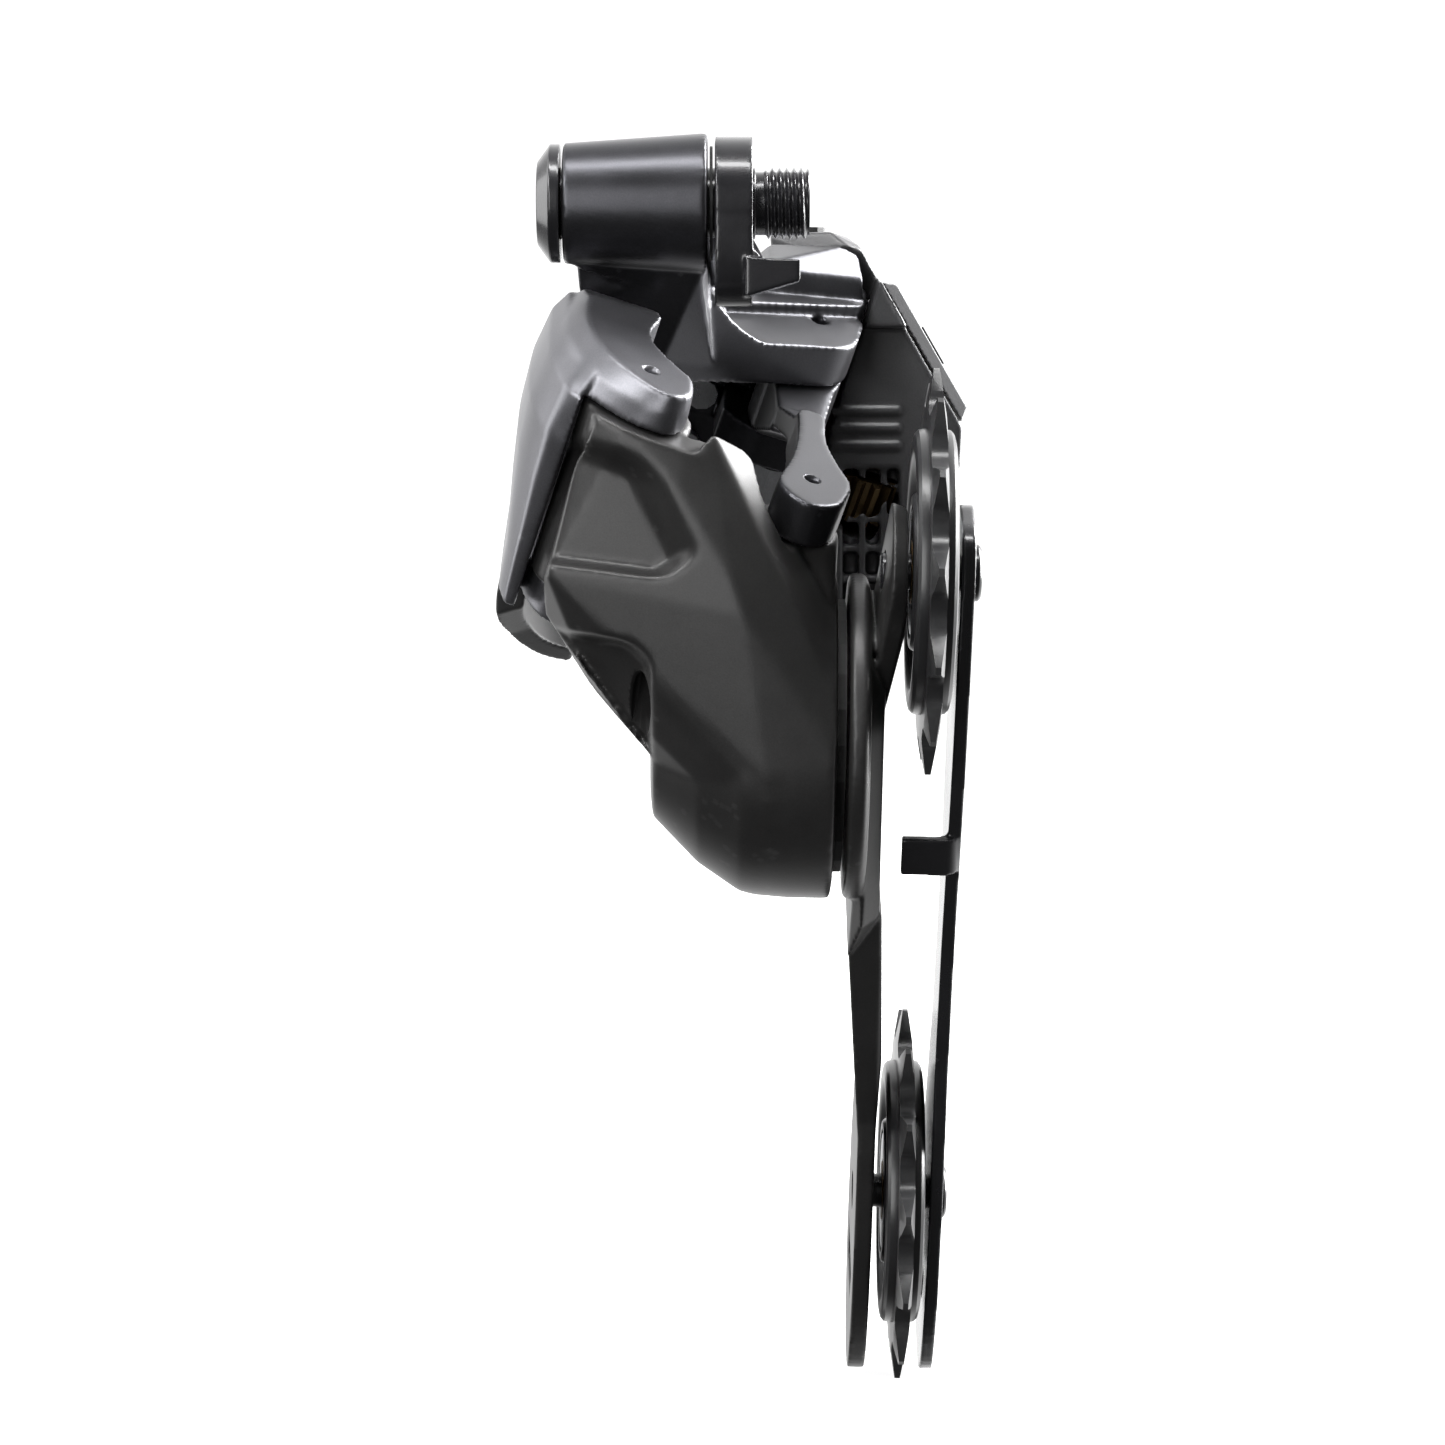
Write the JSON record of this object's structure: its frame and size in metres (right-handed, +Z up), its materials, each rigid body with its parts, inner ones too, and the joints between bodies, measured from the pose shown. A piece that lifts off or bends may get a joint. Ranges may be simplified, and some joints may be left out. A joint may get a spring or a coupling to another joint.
{
  "type": "rear bicycle derailleur",
  "caption": "Long-cage rear bicycle derailleur moved by a battery-powered servo, with a slant parallelogram, a sprung cage and two toothed pulleys.",
  "frame": {"origin": "where the hanger bolt's axis crosses the face that seats on the frame's hanger", "axes": "+X inboard, towards the wheel, along the bolt; +Y to the rear of the bicycle; +Z up"},
  "size_m": [0.0687, 0.1079, 0.1824],
  "materials": {
    "satin_grey_alloy": "anodised, satin dark grey, fine grain",
    "gloss_black_steel": "gloss black",
    "cast_black_alloy": "satin black",
    "matt_black_resin": "matt, moulded",
    "case_resin": "satin grey, moulded",
    "pulley_resin": "semi-gloss",
    "plain_steel": "ground",
    "bush_bronze": "sintered, oiled",
    "seal_rubber": "matt",
    "lens_plastic": "smoked, clear"
  },
  "bodies": {
    "hanger_side": {"hanger_bolt": "gloss_black_steel", "stop_plate": "gloss_black_steel"},
    "bracket": {"bracket_body": "satin_grey_alloy", "bracket_seal": "seal_rubber", "bolt_bushing_outer": "bush_bronze", "bolt_bushing_inner": "bush_bronze", "tension_screw": "plain_steel", "servo_case": "case_resin", "case_screw_1": "plain_steel", "case_screw_2": "plain_steel", "case_screw_3": "plain_steel", "battery_pack": "matt_black_resin", "servo_motor": "plain_steel", "status_lens": "lens_plastic"},
    "outer_link": {"outer_link": "satin_grey_alloy", "skid_plate": "matt_black_resin", "skid_screw_1": "plain_steel", "skid_screw_2": "plain_steel", "link_pin_outer_front": "plain_steel", "link_pin_outer_rear": "plain_steel", "pin_bush_outer_rear": "bush_bronze"},
    "inner_link": {"inner_link": "satin_grey_alloy", "link_pin_inner_rear": "plain_steel", "pin_bush_inner_rear": "bush_bronze", "link_pin_inner_front": "plain_steel", "drive_sector": "plain_steel"},
    "drive_pinion": {"drive_pinion": "bush_bronze"},
    "knuckle": {"knuckle_housing": "cast_black_alloy", "pin_bush_outer_front": "bush_bronze", "pin_bush_inner_front": "bush_bronze", "axle_bush": "bush_bronze", "cage_spring": "plain_steel", "clutch_band": "plain_steel", "seal_ring": "seal_rubber"},
    "cage": {"outer_cage_plate": "cast_black_alloy", "inner_cage_plate": "gloss_black_steel", "cage_axle": "plain_steel", "axle_clip": "plain_steel", "clutch_drum": "plain_steel", "guide_bolt": "plain_steel", "guide_bush": "bush_bronze", "guide_cap_outer": "plain_steel", "guide_cap_inner": "plain_steel", "tension_bolt": "plain_steel", "tension_bush": "bush_bronze", "tension_cap_outer": "plain_steel", "tension_cap_inner": "plain_steel"},
    "guide_pulley": {"guide_pulley": "pulley_resin"},
    "tension_pulley": {"tension_pulley": "pulley_resin"},
    "battery_door": {"battery_door": "case_resin"},
    "door_latch": {"door_latch": "gloss_black_steel"},
    "mode_button": {"mode_button": "matt_black_resin"}
  },
  "joints": [
    {"name": "bracket_swivel", "type": "hinge", "parent": "hanger_side", "child": "bracket", "pos_m": [0, 0, 0], "axis": [1, 0, 0], "range_deg": [0, 25]},
    {"name": "outer_link_pivot", "type": "hinge", "parent": "bracket", "child": "outer_link", "pos_m": [-0.01182, 0.02723, -0.00128], "axis": [0.3, -0.4, 0.866], "range_deg": [-18, 20]},
    {"name": "inner_link_pivot", "type": "hinge", "parent": "bracket", "child": "inner_link", "pos_m": [0.01239, 0.02963, -0.00856], "axis": [0.3, -0.4, 0.866], "range_deg": [-20, 20]},
    {"name": "knuckle_pivot", "type": "hinge", "parent": "outer_link", "child": "knuckle", "pos_m": [-0.0136, -0.022, -0.0234], "axis": [0.3, -0.4, 0.866], "range_deg": [-20, 20]},
    {"name": "drive_pinion_spin", "type": "hinge", "parent": "bracket", "child": "drive_pinion", "pos_m": [0.02741, 0.03511, -0.01123], "axis": [0.3, -0.4, 0.866], "range_deg": [-62, 62]},
    {"name": "cage_pivot", "type": "hinge", "parent": "knuckle", "child": "cage", "pos_m": [0, -0.004, -0.0735], "axis": [-0.9998, 0, 0.0202], "range_deg": [-3, 72], "stiffness_Nm_per_rad": 0.35},
    {"name": "guide_pulley_spin", "type": "hinge", "parent": "cage", "child": "guide_pulley", "pos_m": [0.02417, -0.0154, -0.05062], "axis": [0.9998, 0, -0.0202], "continuous": true},
    {"name": "tension_pulley_spin", "type": "hinge", "parent": "cage", "child": "tension_pulley", "pos_m": [0.02228, 0.03019, -0.14407], "axis": [0.9998, 0, -0.0202], "continuous": true},
    {"name": "battery_door_hinge", "type": "hinge", "parent": "bracket", "child": "battery_door", "pos_m": [0.02658, 0.0617, -0.01905], "axis": [-0.5, 0, 0.866], "range_deg": [0, 100]},
    {"name": "door_latch_slide", "type": "slide", "parent": "battery_door", "child": "door_latch", "axis": [-0.5, 0, 0.866], "range_m": [-0.001, 0]},
    {"name": "mode_button_press", "type": "slide", "parent": "bracket", "child": "mode_button", "axis": [0, 0, -1], "range_m": [0, 0.0005], "stiffness_N_per_m": 400}
  ],
  "couplings": [
    {"joint": "inner_link_pivot", "follows": "outer_link_pivot", "ratio": 1},
    {"joint": "knuckle_pivot", "follows": "outer_link_pivot", "ratio": -1},
    {"joint": "drive_pinion_spin", "follows": "outer_link_pivot", "ratio": -3}
  ]
}
